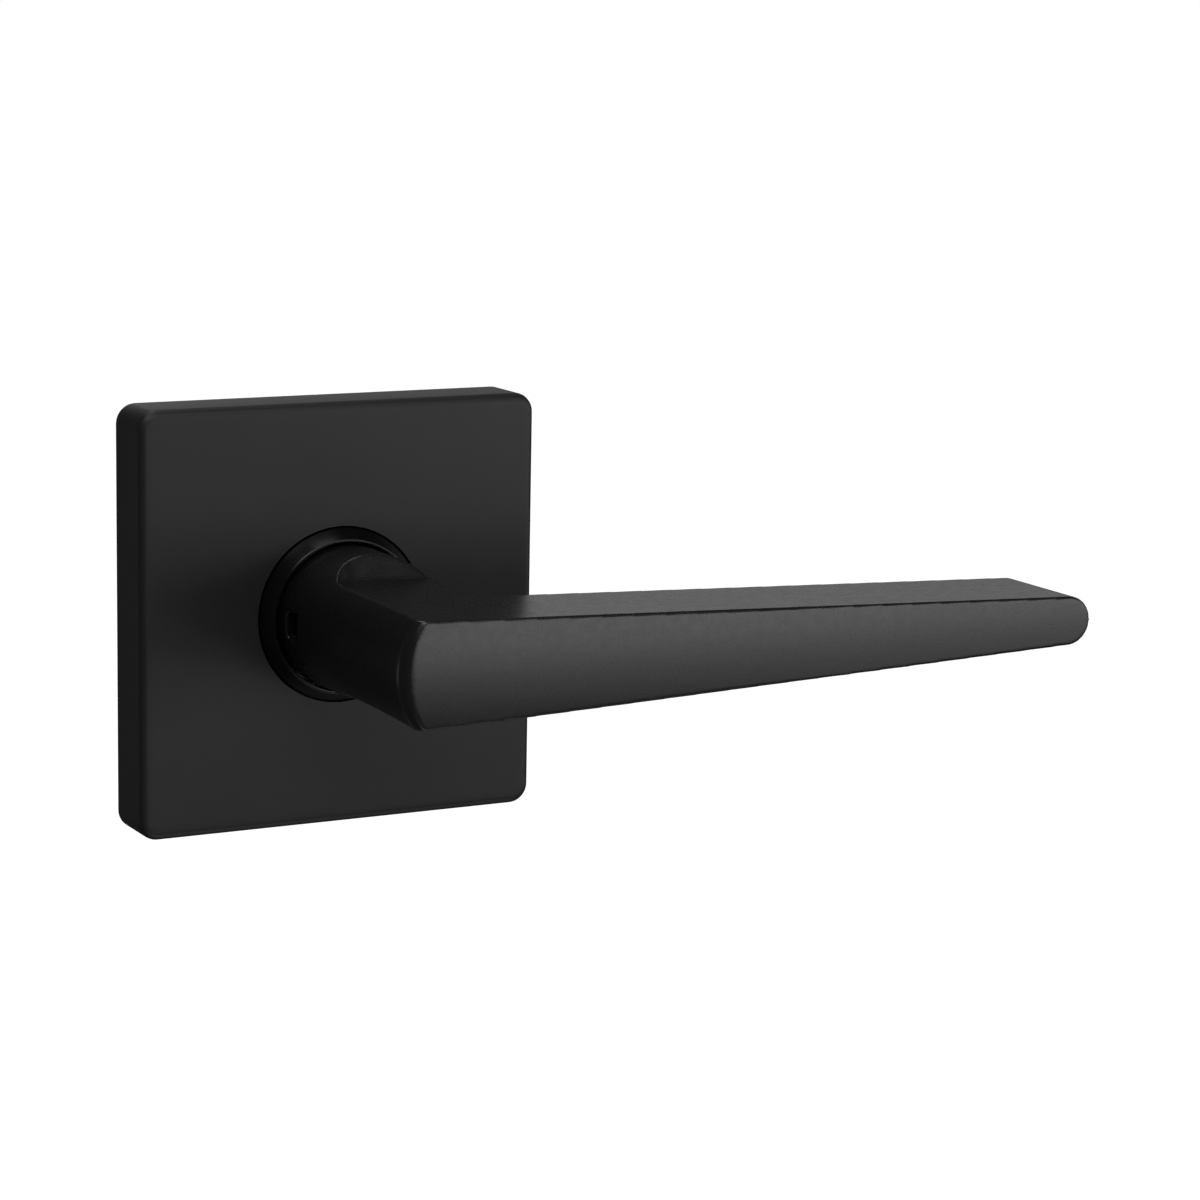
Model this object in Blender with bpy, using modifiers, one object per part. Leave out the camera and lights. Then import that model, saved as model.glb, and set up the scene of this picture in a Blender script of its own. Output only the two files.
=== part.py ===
"""Door lever handle: one trim half of a tubular passage set, lever on a square rose.

The spindle axis is world Y through the origin. Y = 0 is the face of the door, -Y runs
out of the door towards the hand, +Y into the door bore, +X along the lever, +Z is up.
Lathe-shaped pieces and flat outlines are drawn in a frame whose local Z is the height
out of the door, so "height" below always means -Y in the world. Lengths are in metres.
"""

import math

import bmesh
import bpy
from mathutils import Matrix, Vector

MM = 0.001
GAP = 0.3 * MM  # running or assembly gap between neighbouring pieces

# Rose: a hollow square cast cover that hides everything fixed to the door face.
ROSE_SIDE = 66.7 * MM
ROSE_DEPTH = 9.7 * MM
ROSE_CORNER = 3.1 * MM
ROSE_FRONT_EDGE = 1.3 * MM
ROSE_WALL = 1.8 * MM

# Lever: neck round the spindle axis, top and bottom milled flat, bar tapering to a nose.
LEVER_OUT = 58.6 * MM  # front of the lever above the door face
LEVER_REACH = 107.4 * MM  # spindle axis to the end of the nose
LEVER_THICK = 18.7 * MM  # front to back of the bar
LEVER_HALF_AT_AXIS = 7.76 * MM
LEVER_HALF_AT_NOSE = 3.9 * MM
LEVER_CROWN = 0.4 * MM  # the front face bulges this much between its long edges
NECK_RADIUS = 11.3 * MM  # where it enters the bush
WAIST_RADIUS = 11.5 * MM
WAIST_HEIGHT = 33.0 * MM
HEAD_RADIUS = 12.2 * MM
HEAD_FILLET = 1.9 * MM
FLAT_START = 23.3 * MM  # height where the wall at the back of each flat meets the flat
WALL_LEAN = 2.5 * MM  # how far that wall leans back by the time it reaches the neck's top
WALL_CORNER = 4.5 * MM  # plan radius at the wall's closed end
ARMPIT_RADIUS = 3.4 * MM  # plan fillet between the neck and the back of the bar
NECK_END = 7.4 * MM  # height of the neck's hidden end

# Drive tube, spindle and what keys them to the lever.
TUBE_RADIUS = 7.2 * MM
TUBE_BORE = 5.95 * MM
TUBE_FRONT = 20.2 * MM
TUBE_KEY_HALF = 6.4 * MM  # half width across the two flats that drive the tube
SPINDLE_SIDE = 8.0 * MM
SPINDLE_FRONT = -2.5 * MM
SPINDLE_BACK = -48.0 * MM
PIN_RADIUS = 1.2 * MM
PIN_HEIGHT = -7.0 * MM

# Catch that holds the lever on the tube, seen in a slot in the neck opposite the bar.
CATCH_HEIGHT = 16.3 * MM
CATCH_NOSE = 3.6 * MM  # side of the square nose
CATCH_REACH = 9.6 * MM  # axis to the tip of the nose
CATCH_HEAD = 6.0 * MM
CATCH_HEAD_THICK = 1.4 * MM

# Mounting plate, spring housing and fastenings.
PLATE_SIDE = 60.0 * MM
PLATE_THICK = 1.6 * MM
TAB_WIDTH = 12.0 * MM
TAB_HEIGHT = 5.4 * MM
POST_CENTRES = 38.0 * MM
POST_RADIUS = 3.4 * MM
POST_LENGTH = 28.0 * MM
POST_THREAD_RADIUS = 1.95 * MM
POST_THREAD_DEPTH = 20.0 * MM
HOUSING_RADIUS = 13.2 * MM  # inside the round part of the cup
POCKET_RADIUS = 18.2 * MM  # inside the pocket the spring legs swing in
POCKET_HALF_ANGLE = 64.0
HOUSING_WALL = 1.2 * MM
HOUSING_DEPTH = 13.0 * MM
TUBE_BACK = -HOUSING_DEPTH - 5.0 * MM  # leaves room for the washer and the retaining ring
FLANGE_RADIUS = 25.4 * MM
RIVET_CIRCLE = 22.3 * MM
RIVET_RADIUS = 1.4 * MM
RIVET_HEAD = 2.3 * MM

# Cam plate and return spring.
CAM_RADIUS = 12.4 * MM
CAM_THICK = 1.6 * MM
CAM_HEIGHT = -0.8 * MM  # front face of the cam plate
LUG_HALF_WIDTH = 2.4 * MM
CAM_LUG_INNER = 15.2 * MM
CAM_LUG_OUTER = 17.6 * MM
FIXED_LUG_INNER = 12.2 * MM
FIXED_LUG_OUTER = 14.6 * MM
TURN_LIMIT = 45.0
SPRING_WIRE = 0.8 * MM  # radius of the wire
SPRING_RADIUS = 10.2 * MM
SPRING_FRONT = -3.9 * MM
SPRING_GAP = 0.35 * MM  # least room between turns
SPRING_END_ROOM = 2.35 * MM  # from the housing's floor to the middle of the last turn
SPRING_ROOM = SPRING_FRONT + GAP + HOUSING_DEPTH - HOUSING_WALL - SPRING_END_ROOM
SPRING_TURNS = int(SPRING_ROOM / (2 * SPRING_WIRE + SPRING_GAP) + 0.001)
SPRING_PITCH = SPRING_ROOM / SPRING_TURNS

# Bush in the rose and the parts that hold the tube in the housing.
BUSH_LIP_RADIUS = 13.7 * MM
BUSH_NOSE_HEIGHT = 12.1 * MM
BUSH_CLEARANCE = 0.45 * MM  # radial, round the neck
BUSH_RIM = 0.5 * MM  # width of the flat rim that faces out of the door
BUSH_FLANGE_RADIUS = 16.0 * MM
BUSH_BACK = 5.9 * MM
WASHER_THICK = 0.6 * MM
RING_THICK = 1.0 * MM
RING_RADIUS = 9.2 * MM
GROOVE_DEPTH = 0.6 * MM

ROUND_STEPS = 64

for leftover in list(bpy.data.objects):
    bpy.data.objects.remove(leftover)

handle = bpy.data.collections.new("door_lever_handle")
bpy.context.scene.collection.children.link(handle)
cutters = bpy.data.collections.new("cutters")
bpy.context.scene.collection.children.link(cutters)

OUT_OF_DOOR = Matrix.Rotation(math.radians(90), 4, "X")  # local Z becomes world -Y


def paint(name, hexcode, roughness, metallic):
    material = bpy.data.materials.new(name)
    material.use_nodes = True
    shader = material.node_tree.nodes["Principled BSDF"]
    channels = [int(hexcode[i : i + 2], 16) / 255 for i in (0, 2, 4)]
    linear = [c / 12.92 if c <= 0.04045 else ((c + 0.055) / 1.055) ** 2.4 for c in channels]
    shader.inputs["Base Color"].default_value = (*linear, 1.0)
    shader.inputs["Roughness"].default_value = roughness
    shader.inputs["Metallic"].default_value = metallic
    return material


def place(name, mesh, cutter=False):
    """The named object of this mesh, in the handle's collection or among the cutters."""
    piece = bpy.data.objects.new(name, mesh)
    if cutter:
        cutters.objects.link(piece)
        piece.hide_render = True
        piece.display_type = "WIRE"
    else:
        handle.objects.link(piece)
    return piece


def frozen(source):
    """The evaluated mesh of an object as plain data, its doubled points merged."""
    bpy.context.view_layer.update()
    graph = bpy.context.evaluated_depsgraph_get()
    mesh = bpy.data.meshes.new_from_object(source.evaluated_get(graph), depsgraph=graph)
    mesh.transform(source.matrix_world)
    work = bmesh.new()
    work.from_mesh(mesh)
    bmesh.ops.remove_doubles(work, verts=work.verts, dist=1e-7)
    bmesh.ops.recalc_face_normals(work, faces=work.faces)
    work.to_mesh(mesh)
    work.free()
    bpy.data.objects.remove(source)
    return mesh


def lathe(profile, steps=ROUND_STEPS):
    """A solid turned about the spindle axis from (radius, height) points, listed from the
    top down the outer side, and back up the bore for a ring."""
    mesh = bpy.data.meshes.new("turned profile")
    points = [(radius, 0.0, height) for radius, height in profile]
    ring = profile[0][0] > 0
    edges = [(i, i + 1) for i in range(len(points) - 1)]
    if ring:
        edges.append((len(points) - 1, 0))
    mesh.from_pydata(points, edges, [])
    turned = bpy.data.objects.new("turned profile", mesh)
    cutters.objects.link(turned)
    screw = turned.modifiers.new("turn", "SCREW")
    screw.axis = "Z"
    screw.angle = math.tau
    screw.steps = steps
    screw.render_steps = steps
    screw.use_merge_vertices = True
    screw.merge_threshold = 1e-6
    screw.use_smooth_shade = False
    turned.matrix_world = OUT_OF_DOOR
    return frozen(turned)


def prism(outline, low, high, axis="Y"):
    """A flat outline given thickness from low to high. Along Y the outline is (x, z) and
    low to high is height out of the door; along Z it is the plan (x, height); along X it
    is the side view (height, z)."""
    frames = {
        "Y": ((1, 0, 0), (0, 0, -1), (0, 1, 0)),
        "Z": ((1, 0, 0), (0, -1, 0), (0, 0, 1)),
        "X": ((0, 0, 1), (-1, 0, 0), (0, 1, 0)),
    }
    frame = Matrix(frames[axis])
    work = bmesh.new()
    sheet = work.faces.new([work.verts.new(frame @ Vector((p, q, low))) for p, q in outline])
    raised = bmesh.ops.extrude_face_region(work, geom=[sheet])["geom"]
    corners = [item for item in raised if isinstance(item, bmesh.types.BMVert)]
    bmesh.ops.translate(work, verts=corners, vec=frame @ Vector((0, 0, high - low)))
    bmesh.ops.recalc_face_normals(work, faces=work.faces)
    mesh = bpy.data.meshes.new("prism")
    work.to_mesh(mesh)
    work.free()
    return mesh


def block(x, height, z):
    """A box between two values of x, of height out of the door, and of z."""
    return prism([(x[0], z[0]), (x[1], z[0]), (x[1], z[1]), (x[0], z[1])], *height)


def disc(radius, centre=(0.0, 0.0), steps=ROUND_STEPS):
    turns = [math.tau * (i + 0.5) / steps for i in range(steps)]
    return [(centre[0] + radius * math.cos(t), centre[1] + radius * math.sin(t)) for t in turns]


def rounded_square(side, corner, steps=8):
    outline = []
    inset = side / 2 - corner
    for quarter, (sx, sz) in enumerate(((1, 1), (-1, 1), (-1, -1), (1, -1))):
        for i in range(steps + 1):
            turn = math.pi / 2 * (quarter + i / steps)
            outline.append((sx * inset + corner * math.cos(turn), sz * inset + corner * math.sin(turn)))
    return outline


def rod(radius, start, end, steps=32):
    """A round bar between two points."""
    work = bmesh.new()
    along = Vector(end) - Vector(start)
    turn = along.to_track_quat("Z", "Y").to_matrix().to_4x4()
    where = Matrix.Translation((Vector(start) + Vector(end)) / 2) @ turn
    bmesh.ops.create_cone(
        work, cap_ends=True, segments=steps, radius1=radius, radius2=radius, depth=along.length, matrix=where
    )
    mesh = bpy.data.meshes.new("rod")
    work.to_mesh(mesh)
    work.free()
    return mesh


def combine(target, mesh, operation):
    """Cuts a mesh from a piece, joins it on, or keeps only what both hold."""
    tool = place(f"{target.name} {operation.lower()} tool", mesh, cutter=True)
    boolean = target.modifiers.new(operation.lower(), "BOOLEAN")
    boolean.operation = operation
    boolean.solver = "EXACT"
    boolean.object = tool


def finish(piece, material, smooth=False):
    piece.data.materials.clear()
    piece.data.materials.append(material)
    for face in piece.data.polygons:
        face.use_smooth = smooth


black_coat = paint("satin_black_painted_zinc", "2E2D2E", 0.38, 0.35)
black_acetal = paint("black_acetal", "0C0C0C", 0.45, 0.0)
zinc_steel = paint("zinc_plated_steel", "B9BCC0", 0.35, 1.0)
die_cast = paint("bare_zinc_casting", "9A9C9E", 0.45, 1.0)
bright_steel = paint("bright_steel", "C4C4C2", 0.28, 1.0)
spring_steel = paint("oiled_spring_steel", "55565A", 0.32, 1.0)

# ---- Rose ------------------------------------------------------------------------------
# A block with a rounded front edge, hollowed from behind, bored for the bush, with a rib
# inside each wall that the mounting plate's tabs snap behind.
rose = place("rose", prism(rounded_square(ROSE_SIDE, ROSE_CORNER), 0.0, ROSE_DEPTH))
front_edge = rose.modifiers.new("front edge", "BEVEL")
front_edge.width = ROSE_FRONT_EDGE
front_edge.segments = 4
front_edge.limit_method = "WEIGHT"
weights = rose.data.attributes.new("bevel_weight_edge", "FLOAT", "EDGE")
for edge in rose.data.edges:
    ends = [rose.data.vertices[i].co.y for i in edge.vertices]
    weights.data[edge.index].value = 1.0 if max(ends) < -ROSE_DEPTH + 1e-6 else 0.0
cavity_side = ROSE_SIDE - 2 * ROSE_WALL
cavity_corner = ROSE_CORNER - ROSE_WALL
cavity_depth = ROSE_DEPTH - ROSE_WALL
combine(rose, prism(rounded_square(cavity_side, cavity_corner), -1 * MM, cavity_depth), "DIFFERENCE")
combine(rose, prism(disc(BUSH_LIP_RADIUS + GAP), 1 * MM, ROSE_DEPTH + 2 * MM), "DIFFERENCE")
tab_face = PLATE_SIDE / 2  # outer face of a tab
rib_deep = cavity_side / 2 - tab_face - GAP
rib_low = PLATE_THICK + TAB_HEIGHT - 1.9 * MM
for turn in range(4):
    rib_x = (cavity_side / 2 - rib_deep, cavity_side / 2 + 0.5 * MM)
    rib = block(rib_x, (rib_low, rib_low + 1.2 * MM), (-8 * MM, 8 * MM))
    rib.transform(Matrix.Rotation(math.radians(90 * turn), 4, "Y"))
    combine(rose, rib, "UNION")
finish(rose, black_coat)

# ---- Neck bush -------------------------------------------------------------------------
# A moulded ring that snaps into the rose, its bevelled lip standing just proud of the face.
bush_bore = NECK_RADIUS + BUSH_CLEARANCE
neck_bush = place(
    "neck_bush",
    lathe(
        [
            (bush_bore, BUSH_NOSE_HEIGHT),
            (bush_bore + BUSH_RIM, BUSH_NOSE_HEIGHT),
            (BUSH_LIP_RADIUS, ROSE_DEPTH + 0.1 * MM),
            (BUSH_LIP_RADIUS, cavity_depth - GAP),
            (BUSH_FLANGE_RADIUS, cavity_depth - GAP),
            (BUSH_FLANGE_RADIUS, BUSH_BACK),
            (bush_bore, BUSH_BACK),
        ]
    ),
)
finish(neck_bush, black_acetal, smooth=False)

# ---- Lever -----------------------------------------------------------------------------
# The round neck is turned, the bar and the web behind it are joined on, and everything is
# trimmed by one shape: the tapering bar outline, with a slope up to the full neck.
taper = (LEVER_HALF_AT_AXIS - LEVER_HALF_AT_NOSE) / (LEVER_REACH - LEVER_HALF_AT_NOSE)
untrimmed_front = LEVER_OUT + 0.05 * MM
neck_profile = [(0.0, untrimmed_front)]
for i in range(9):
    turn = math.pi / 2 * i / 8
    round_x = HEAD_RADIUS - HEAD_FILLET * (1 - math.sin(turn))
    neck_profile.append((round_x, untrimmed_front - HEAD_FILLET * (1 - math.cos(turn))))
shoulder_height = untrimmed_front - HEAD_FILLET
for i in range(1, 9):
    down = i / 8
    neck_profile.append(
        (
            WAIST_RADIUS + (HEAD_RADIUS - WAIST_RADIUS) * (1 - down) ** 2,
            shoulder_height + (WAIST_HEIGHT - shoulder_height) * down,
        )
    )
for i in range(1, 9):
    down = i / 8
    blend = down * down * (3 - 2 * down)
    neck_profile.append(
        (
            WAIST_RADIUS + (NECK_RADIUS - WAIST_RADIUS) * blend,
            WAIST_HEIGHT + (BUSH_NOSE_HEIGHT + 1 * MM - WAIST_HEIGHT) * down,
        )
    )
neck_profile.append((NECK_RADIUS, NECK_END))
neck_profile.append((0.0, NECK_END))
lever = place("lever", lathe(neck_profile))
tall = 14 * MM
back_height = LEVER_OUT - LEVER_THICK
bar_front = LEVER_OUT + 1 * MM
bar_and_web = [(0.0, bar_front), (0.0, FLAT_START + 1 * MM)]
web_side = math.sqrt(WAIST_RADIUS**2 - LEVER_HALF_AT_AXIS**2) + 0.3 * MM
bar_and_web.append((web_side, FLAT_START + 1 * MM))
bar_and_web.append((web_side, back_height - ARMPIT_RADIUS))
for i in range(1, 9):
    turn = math.pi / 2 * i / 8
    round_x = web_side + ARMPIT_RADIUS * (1 - math.cos(turn))
    bar_and_web.append((round_x, back_height - ARMPIT_RADIUS * (1 - math.sin(turn))))
bar_and_web.append((LEVER_REACH + 3 * MM, back_height))
bar_and_web.append((LEVER_REACH + 3 * MM, bar_front))
combine(lever, prism(bar_and_web, -tall, tall, axis="Z"), "UNION")
trim_left = -16 * MM
half_left = LEVER_HALF_AT_AXIS - taper * trim_left
bar_outline = [(trim_left, half_left), (trim_left, -half_left)]
for i in range(17):
    turn = -math.pi / 2 + math.pi * i / 16
    bar_outline.append(
        (
            LEVER_REACH - LEVER_HALF_AT_NOSE * (1 - math.cos(turn)),
            LEVER_HALF_AT_NOSE * math.sin(turn),
        )
    )
trim = place("lever trim", prism(bar_outline, NECK_END + 6 * MM, LEVER_OUT + 4 * MM), cutter=True)
# Behind the flats the full round is kept. Its plan outline moves back with distance from
# the middle of the neck, which leans the wall.
wall_corner_x = WALL_CORNER - math.sqrt(WAIST_RADIUS**2 - half_left**2)
keep_outline = [(14 * MM, NECK_END - 2 * MM), (14 * MM, FLAT_START)]
for i in range(9):
    turn = math.pi / 2 * i / 8
    keep_outline.append(
        (wall_corner_x - WALL_CORNER * math.sin(turn), FLAT_START + WALL_CORNER * (1 - math.cos(turn)))
    )
keep_outline.append((-14 * MM, FLAT_START + WALL_CORNER))
keep_outline.append((-14 * MM, NECK_END - 2 * MM))
lean = WALL_LEAN / (WAIST_RADIUS - LEVER_HALF_AT_AXIS)
sections = []
for z in (-tall, 0.0, tall):
    back = lean * (abs(z) - LEVER_HALF_AT_AXIS)
    sections.append([(x, -max(height - back, NECK_END - 2 * MM), z) for x, height in keep_outline])
work = bmesh.new()
rings = [[work.verts.new(point) for point in section] for section in sections]
work.faces.new(rings[0])
work.faces.new(list(reversed(rings[-1])))
for low_ring, high_ring in zip(rings, rings[1:]):
    for i in range(len(low_ring)):
        j = (i + 1) % len(low_ring)
        work.faces.new((low_ring[i], low_ring[j], high_ring[j], high_ring[i]))
bmesh.ops.recalc_face_normals(work, faces=work.faces)
round_part = bpy.data.meshes.new("round part")
work.to_mesh(round_part)
work.free()
combine(trim, round_part, "UNION")
combine(lever, frozen(trim), "INTERSECT")
crown = []
for i in range(13):
    across = -1 + 2 * i / 12
    crown.append((LEVER_OUT - LEVER_CROWN * (across * tall / LEVER_HALF_AT_AXIS) ** 2, across * tall))
crown = [(NECK_END - 3 * MM, -tall)] + crown + [(NECK_END - 3 * MM, tall)]
combine(lever, prism(crown, -20 * MM, LEVER_REACH + 5 * MM, axis="X"), "INTERSECT")
# Bore for the keyed front of the drive tube, with its two flats, and the catch's pocket.
bore_top = TUBE_FRONT + 0.6 * MM
bore = place("lever bore", prism(disc(TUBE_RADIUS + GAP), NECK_END - 2 * MM, bore_top), cutter=True)
key_half = TUBE_KEY_HALF + GAP
combine(bore, block((-tall, tall), (NECK_END - 3 * MM, bore_top + 1 * MM), (-key_half, key_half)), "INTERSECT")
combine(lever, frozen(bore), "DIFFERENCE")
nose_gap = CATCH_NOSE / 2 + GAP
slot_height = (CATCH_HEIGHT - nose_gap, CATCH_HEIGHT + nose_gap)
slot_z = (-nose_gap, nose_gap)
combine(lever, block((-tall, -TUBE_BORE), slot_height, slot_z), "DIFFERENCE")
finish(lever, black_coat)

# ---- Drive tube ------------------------------------------------------------------------
# Steel tube from the housing into the neck: two flats in front key it to the lever, a
# window in its side lets the catch through, a groove behind takes the retaining ring.
housing_floor = -GAP - HOUSING_DEPTH
washer_front = housing_floor - GAP
ring_front = washer_front - WASHER_THICK - GAP
groove_front = ring_front + GAP
groove_back = ring_front - RING_THICK - GAP
groove_radius = TUBE_RADIUS - GROOVE_DEPTH
drive_tube = place(
    "drive_tube",
    lathe(
        [
            (TUBE_BORE, TUBE_FRONT),
            (TUBE_RADIUS - 0.4 * MM, TUBE_FRONT),
            (TUBE_RADIUS, TUBE_FRONT - 0.4 * MM),
            (TUBE_RADIUS, groove_front),
            (groove_radius, groove_front),
            (groove_radius, groove_back),
            (TUBE_RADIUS, groove_back),
            (TUBE_RADIUS, TUBE_BACK + 0.4 * MM),
            (TUBE_RADIUS - 0.4 * MM, TUBE_BACK),
            (TUBE_BORE, TUBE_BACK),
        ]
    ),
)
key_end = NECK_END - 1.0 * MM
for side in (-1, 1):
    flat_z = sorted((side * TUBE_KEY_HALF, side * 9 * MM))
    combine(drive_tube, block((-9 * MM, 9 * MM), (key_end, TUBE_FRONT + 1 * MM), flat_z), "DIFFERENCE")
combine(drive_tube, block((-9 * MM, -2 * MM), slot_height, slot_z), "DIFFERENCE")
pin_hole = PIN_RADIUS + GAP
combine(drive_tube, rod(pin_hole, (-10 * MM, -PIN_HEIGHT, 0), (10 * MM, -PIN_HEIGHT, 0)), "DIFFERENCE")
finish(drive_tube, zinc_steel)

# ---- Lever catch and its spring --------------------------------------------------------
# A stepped steel plunger inside the tube: its nose locks the lever, its head keeps it in.
head_back = -TUBE_BORE + 1.9 * MM + CATCH_HEAD_THICK
head_half = CATCH_HEAD / 2
head_height = (CATCH_HEIGHT - head_half, CATCH_HEIGHT + head_half)
lever_catch = place(
    "lever_catch", block((head_back - CATCH_HEAD_THICK, head_back), head_height, (-head_half, head_half))
)
nose_half = CATCH_NOSE / 2
nose_height = (CATCH_HEIGHT - nose_half, CATCH_HEIGHT + nose_half)
combine(
    lever_catch, block((-CATCH_REACH, head_back - 0.5 * MM), nose_height, (-nose_half, nose_half)), "UNION"
)
finish(lever_catch, spring_steel)


def coil(name, start, end, radius, wire, turns, steps, legs=(), axis="Y"):
    """A wire helix between two heights, with its legs as extra points at either end."""
    curve = bpy.data.curves.new(name, "CURVE")
    curve.dimensions = "3D"
    curve.bevel_depth = wire
    curve.bevel_resolution = 2
    curve.use_fill_caps = True
    points = []
    for i in range(round(turns * steps) + 1):
        turn = math.tau * i / steps
        along = start + (end - start) * i / (turns * steps)
        points.append((radius * math.cos(turn), -along, radius * math.sin(turn)))
    if legs:
        points = legs[0] + points + legs[1]
    spline = curve.splines.new("POLY")
    spline.points.add(len(points) - 1)
    for point, where in zip(spline.points, points):
        point.co = (*where, 1.0)
    wound = bpy.data.objects.new(name, curve)
    cutters.objects.link(wound)
    return frozen(wound)


catch_spring_wire = 0.3 * MM
catch_spring_radius = 1.7 * MM
catch_spring_low = head_back + GAP + catch_spring_wire
catch_spring_high = TUBE_BORE - GAP - catch_spring_wire - 0.3 * MM
wound = coil(
    "catch spring", -catch_spring_low, -catch_spring_high, catch_spring_radius, catch_spring_wire, 5, 12
)
wound.transform(Matrix.Translation((0, -CATCH_HEIGHT, 0)) @ Matrix.Rotation(math.radians(-90), 4, "Z"))
catch_spring = place("catch_spring", wound)
finish(catch_spring, spring_steel, smooth=True)

# ---- Spindle and its pin ---------------------------------------------------------------
side_half = SPINDLE_SIDE / 2
across = (-side_half, side_half)
spindle = place("spindle", block(across, (SPINDLE_BACK, SPINDLE_FRONT), across))
spindle_edge = spindle.modifiers.new("broken edges", "BEVEL")
spindle_edge.width = 0.35 * MM
spindle_edge.segments = 1
spindle_edge.limit_method = "ANGLE"
combine(spindle, rod(pin_hole, (-10 * MM, -PIN_HEIGHT, 0), (10 * MM, -PIN_HEIGHT, 0)), "DIFFERENCE")
finish(spindle, zinc_steel)
pin_end = TUBE_RADIUS - 0.1 * MM
spindle_pin = place("spindle_pin", rod(PIN_RADIUS, (-pin_end, -PIN_HEIGHT, 0), (pin_end, -PIN_HEIGHT, 0)))
finish(spindle_pin, bright_steel, smooth=False)

# ---- Mounting plate --------------------------------------------------------------------
# Pressed steel, flat against the door, with a tab turned up on each side for the rose.
post_x_z = [(0.0, side * POST_CENTRES / 2) for side in (1, -1)]
rivet_turns = [45, 135, 225, 315]
rivet_x_z = [
    (RIVET_CIRCLE * math.cos(math.radians(t)), RIVET_CIRCLE * math.sin(math.radians(t))) for t in rivet_turns
]
stake_radius = POST_RADIUS - 0.7 * MM
mounting_plate = place("mounting_plate", prism(rounded_square(PLATE_SIDE, 3 * MM), 0.0, PLATE_THICK))
plate_holes = [disc(TUBE_RADIUS + GAP)]
plate_holes += [disc(stake_radius + GAP, centre, 32) for centre in post_x_z]
plate_holes += [disc(RIVET_RADIUS + GAP, centre, 24) for centre in rivet_x_z]
for hole in plate_holes:
    combine(mounting_plate, prism(hole, -1 * MM, PLATE_THICK + 1 * MM), "DIFFERENCE")
for turn in range(4):
    tab_x = (tab_face - 1.5 * MM, tab_face - 0.1 * MM)
    tab = block(tab_x, (PLATE_THICK / 2, PLATE_THICK + TAB_HEIGHT), (-TAB_WIDTH / 2, TAB_WIDTH / 2))
    barb_x = (tab_face - 0.6 * MM, tab_face + rib_deep - GAP)
    barb = block(barb_x, (rib_low + 1.2 * MM + GAP, PLATE_THICK + TAB_HEIGHT - 0.1 * MM), (-3 * MM, 3 * MM))
    for mesh in (tab, barb):
        mesh.transform(Matrix.Rotation(math.radians(90 * turn), 4, "Y"))
        combine(mounting_plate, mesh, "UNION")
finish(mounting_plate, zinc_steel)

# ---- Threaded posts --------------------------------------------------------------------
# Each is staked into the plate and runs back beside the latch, tapped for a bolt.
for name, (x, z) in zip(("upper_post", "lower_post"), post_x_z):
    turned = lathe(
        [
            (0.0, PLATE_THICK + GAP + 1.2 * MM),
            (POST_RADIUS, PLATE_THICK + GAP + 1.2 * MM),
            (POST_RADIUS + 0.4 * MM, PLATE_THICK + GAP),
            (stake_radius, PLATE_THICK + GAP),
            (stake_radius, -GAP),
            (POST_RADIUS, -GAP),
            (POST_RADIUS, -POST_LENGTH + 0.5 * MM),
            (POST_RADIUS - 0.5 * MM, -POST_LENGTH),
            (POST_THREAD_RADIUS, -POST_LENGTH),
            (POST_THREAD_RADIUS, -POST_LENGTH + POST_THREAD_DEPTH),
            (0.0, -POST_LENGTH + POST_THREAD_DEPTH + 1.0 * MM),
        ],
        steps=32,
    )
    turned.transform(Matrix.Translation((x, 0, z)))
    finish(place(name, turned), zinc_steel)


# ---- Spring housing --------------------------------------------------------------------
# A cast cup behind the plate, round but for the pocket in which the spring legs swing.
def pocket_outline(extra):
    half = math.radians(POCKET_HALF_ANGLE) + extra / POCKET_RADIUS
    pocket = POCKET_RADIUS + extra
    cup = HOUSING_RADIUS + extra
    pocket_turns = [half * (i / 12 - 1) for i in range(25)]
    cup_turns = [half + (math.tau - 2 * half) * i / 32 for i in range(33)]
    outline = [(pocket * math.cos(t), pocket * math.sin(t)) for t in pocket_turns]
    return outline + [(cup * math.cos(t), cup * math.sin(t)) for t in cup_turns]


floor_top = housing_floor + HOUSING_WALL
cup_shell = prism(pocket_outline(HOUSING_WALL), housing_floor, -GAP - HOUSING_WALL / 2)
spring_housing = place("spring_housing", cup_shell)
combine(spring_housing, prism(disc(FLANGE_RADIUS), -GAP - HOUSING_WALL, -GAP), "UNION")
flange_holes = [disc(POST_RADIUS + 0.5 * MM, centre, 32) for centre in post_x_z]
flange_holes += [disc(RIVET_RADIUS + GAP, centre, 24) for centre in rivet_x_z]
for hole in flange_holes:
    combine(spring_housing, prism(hole, -2 * MM - HOUSING_WALL, 1 * MM), "DIFFERENCE")
combine(spring_housing, prism(pocket_outline(0.0), floor_top, 1 * MM), "DIFFERENCE")
combine(spring_housing, prism(disc(TUBE_RADIUS + GAP), housing_floor - 1 * MM, 1 * MM), "DIFFERENCE")
cam_back = CAM_HEIGHT - CAM_THICK
fixed_lug_front = cam_back - 0.4 * MM
fixed_lug_height = (housing_floor + 0.4 * MM, fixed_lug_front)
fixed_lug_z = (-LUG_HALF_WIDTH, LUG_HALF_WIDTH)
combine(
    spring_housing, block((FIXED_LUG_INNER, FIXED_LUG_OUTER), fixed_lug_height, fixed_lug_z), "UNION"
)
arm_half_angle = math.degrees(math.atan(LUG_HALF_WIDTH / CAM_LUG_INNER))
for side in (-1, 1):
    stop_x = (HOUSING_RADIUS + 1.0 * MM, POCKET_RADIUS + 0.6 * MM)
    stop = block(stop_x, (cam_back - 0.2 * MM, CAM_HEIGHT + 0.1 * MM), (0.0, 3.2 * MM))
    if side < 0:
        stop.transform(Matrix.Translation((0, 0, -3.2 * MM)))
    lean = TURN_LIMIT + arm_half_angle + 2.4
    stop.transform(Matrix.Rotation(-math.radians(side * lean), 4, "Y"))
    combine(spring_housing, stop, "UNION")
finish(spring_housing, die_cast)

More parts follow.
